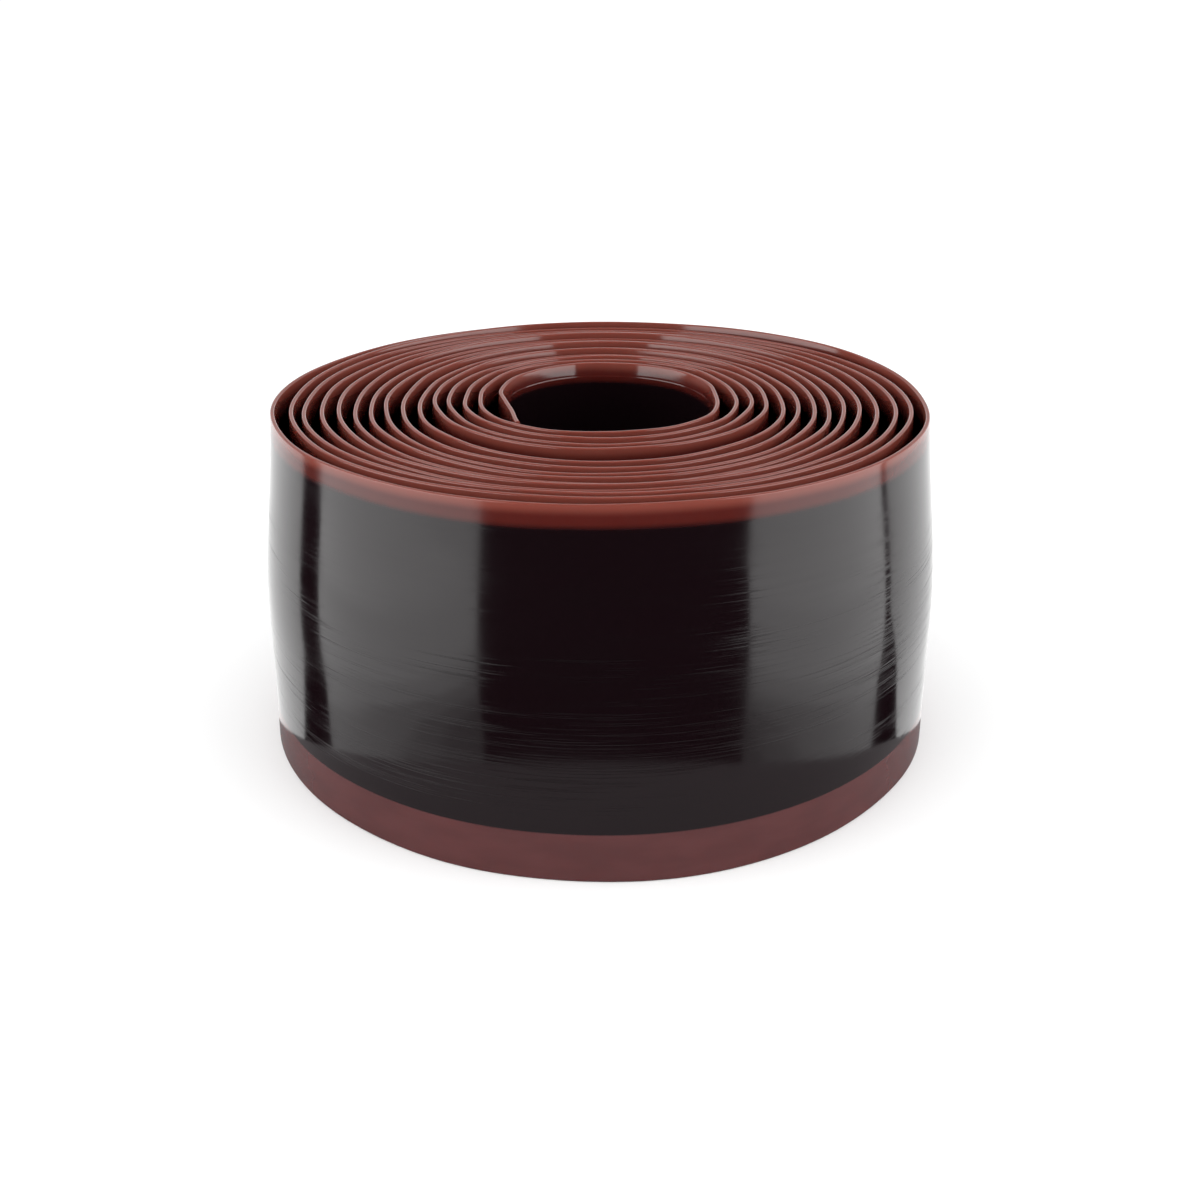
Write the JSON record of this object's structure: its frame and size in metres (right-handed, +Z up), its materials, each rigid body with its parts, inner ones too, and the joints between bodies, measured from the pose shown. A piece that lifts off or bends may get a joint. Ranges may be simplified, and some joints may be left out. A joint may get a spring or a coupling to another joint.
{
  "type": "tyre liner roll",
  "caption": "Springy plastic tyre liner strip wound into an open roll with an empty eye, dark glossy centre band, thin red-brown edges, peelable outer tail and flexing inner end.",
  "frame": {"origin": "middle of the roll's footprint, on the surface it stands on", "axes": "+Z up along the roll's axis, -Y towards the front of the roll, opposite the free end of the outer tail"},
  "size_m": [0.0776, 0.0774, 0.039],
  "materials": {
    "centre_band": "near-black, warm, glossy, with fine scratches along the strip",
    "thin_edge": "red-brown, glossy, slightly translucent"
  },
  "bodies": {
    "roll": {"wound_centre_band": "centre_band", "wound_upper_edge": "thin_edge", "wound_lower_edge": "thin_edge"},
    "tail_1": {"tail_1_centre_band": "centre_band", "tail_1_upper_edge": "thin_edge", "tail_1_lower_edge": "thin_edge"},
    "tail_2": {"tail_2_centre_band": "centre_band", "tail_2_upper_edge": "thin_edge", "tail_2_lower_edge": "thin_edge"},
    "tail_3": {"tail_3_centre_band": "centre_band", "tail_3_upper_edge": "thin_edge", "tail_3_lower_edge": "thin_edge"},
    "tail_4": {"tail_4_centre_band": "centre_band", "tail_4_upper_edge": "thin_edge", "tail_4_lower_edge": "thin_edge"},
    "tail_5": {"tail_5_centre_band": "centre_band", "tail_5_upper_edge": "thin_edge", "tail_5_lower_edge": "thin_edge"},
    "tail_6": {"tail_6_centre_band": "centre_band", "tail_6_upper_edge": "thin_edge", "tail_6_lower_edge": "thin_edge"},
    "tail_7": {"tail_7_centre_band": "centre_band", "tail_7_upper_edge": "thin_edge", "tail_7_lower_edge": "thin_edge"},
    "tail_8": {"tail_8_centre_band": "centre_band", "tail_8_upper_edge": "thin_edge", "tail_8_lower_edge": "thin_edge"},
    "inner_end_1": {"inner_end_1_centre_band": "centre_band", "inner_end_1_upper_edge": "thin_edge", "inner_end_1_lower_edge": "thin_edge"},
    "inner_end_2": {"inner_end_2_centre_band": "centre_band", "inner_end_2_upper_edge": "thin_edge", "inner_end_2_lower_edge": "thin_edge"},
    "inner_end_3": {"inner_end_3_centre_band": "centre_band", "inner_end_3_upper_edge": "thin_edge", "inner_end_3_lower_edge": "thin_edge"}
  },
  "joints": [
    {"name": "tail_peel_1", "type": "hinge", "parent": "roll", "child": "tail_1", "pos_m": [-0.03875, 0, 0.0195], "axis": [0, 0, 1], "range_deg": [0, 15], "stiffness_Nm_per_rad": 0.001},
    {"name": "tail_peel_2", "type": "hinge", "parent": "tail_1", "child": "tail_2", "pos_m": [-0.03739, 0.01002, 0.0195], "axis": [0, 0, 1], "range_deg": [0, 15], "stiffness_Nm_per_rad": 0.001},
    {"name": "tail_peel_3", "type": "hinge", "parent": "tail_2", "child": "tail_3", "pos_m": [-0.03346, 0.01932, 0.0195], "axis": [0, 0, 1], "range_deg": [0, 15], "stiffness_Nm_per_rad": 0.001},
    {"name": "tail_peel_4", "type": "hinge", "parent": "tail_3", "child": "tail_4", "pos_m": [-0.02727, 0.02727, 0.0195], "axis": [0, 0, 1], "range_deg": [0, 15], "stiffness_Nm_per_rad": 0.001},
    {"name": "tail_peel_5", "type": "hinge", "parent": "tail_4", "child": "tail_5", "pos_m": [-0.01925, 0.03335, 0.0195], "axis": [0, 0, 1], "range_deg": [0, 15], "stiffness_Nm_per_rad": 0.001},
    {"name": "tail_peel_6", "type": "hinge", "parent": "tail_5", "child": "tail_6", "pos_m": [-0.00996, 0.03718, 0.0195], "axis": [0, 0, 1], "range_deg": [0, 15], "stiffness_Nm_per_rad": 0.001},
    {"name": "tail_peel_7", "type": "hinge", "parent": "tail_6", "child": "tail_7", "pos_m": [0, 0.03855, 0.0195], "axis": [0, 0, 1], "range_deg": [0, 15], "stiffness_Nm_per_rad": 0.001},
    {"name": "tail_peel_8", "type": "hinge", "parent": "tail_7", "child": "tail_8", "pos_m": [0.01002, 0.03739, 0.0195], "axis": [0, 0, 1], "range_deg": [0, 15], "stiffness_Nm_per_rad": 0.001},
    {"name": "inner_flex_1", "type": "hinge", "parent": "roll", "child": "inner_end_1", "pos_m": [-0.01023, 0.00954, 0.0195], "axis": [0, 0, 1], "range_deg": [0, 12], "stiffness_Nm_per_rad": 0.0003},
    {"name": "inner_flex_2", "type": "hinge", "parent": "inner_end_1", "child": "inner_end_2", "pos_m": [-0.01261, 0.00291, 0.0195], "axis": [0, 0, 1], "range_deg": [0, 12], "stiffness_Nm_per_rad": 0.0003},
    {"name": "inner_flex_3", "type": "hinge", "parent": "inner_end_2", "child": "inner_end_3", "pos_m": [-0.01175, -0.00359, 0.0195], "axis": [0, 0, 1], "range_deg": [0, 12], "stiffness_Nm_per_rad": 0.0003}
  ],
  "couplings": [
    {"joint": "tail_peel_2", "follows": "tail_peel_1", "ratio": 1},
    {"joint": "tail_peel_3", "follows": "tail_peel_1", "ratio": 1},
    {"joint": "tail_peel_4", "follows": "tail_peel_1", "ratio": 1},
    {"joint": "tail_peel_5", "follows": "tail_peel_1", "ratio": 1},
    {"joint": "tail_peel_6", "follows": "tail_peel_1", "ratio": 1},
    {"joint": "tail_peel_7", "follows": "tail_peel_1", "ratio": 1},
    {"joint": "tail_peel_8", "follows": "tail_peel_1", "ratio": 1},
    {"joint": "inner_flex_2", "follows": "inner_flex_1", "ratio": 1},
    {"joint": "inner_flex_3", "follows": "inner_flex_1", "ratio": 1}
  ]
}
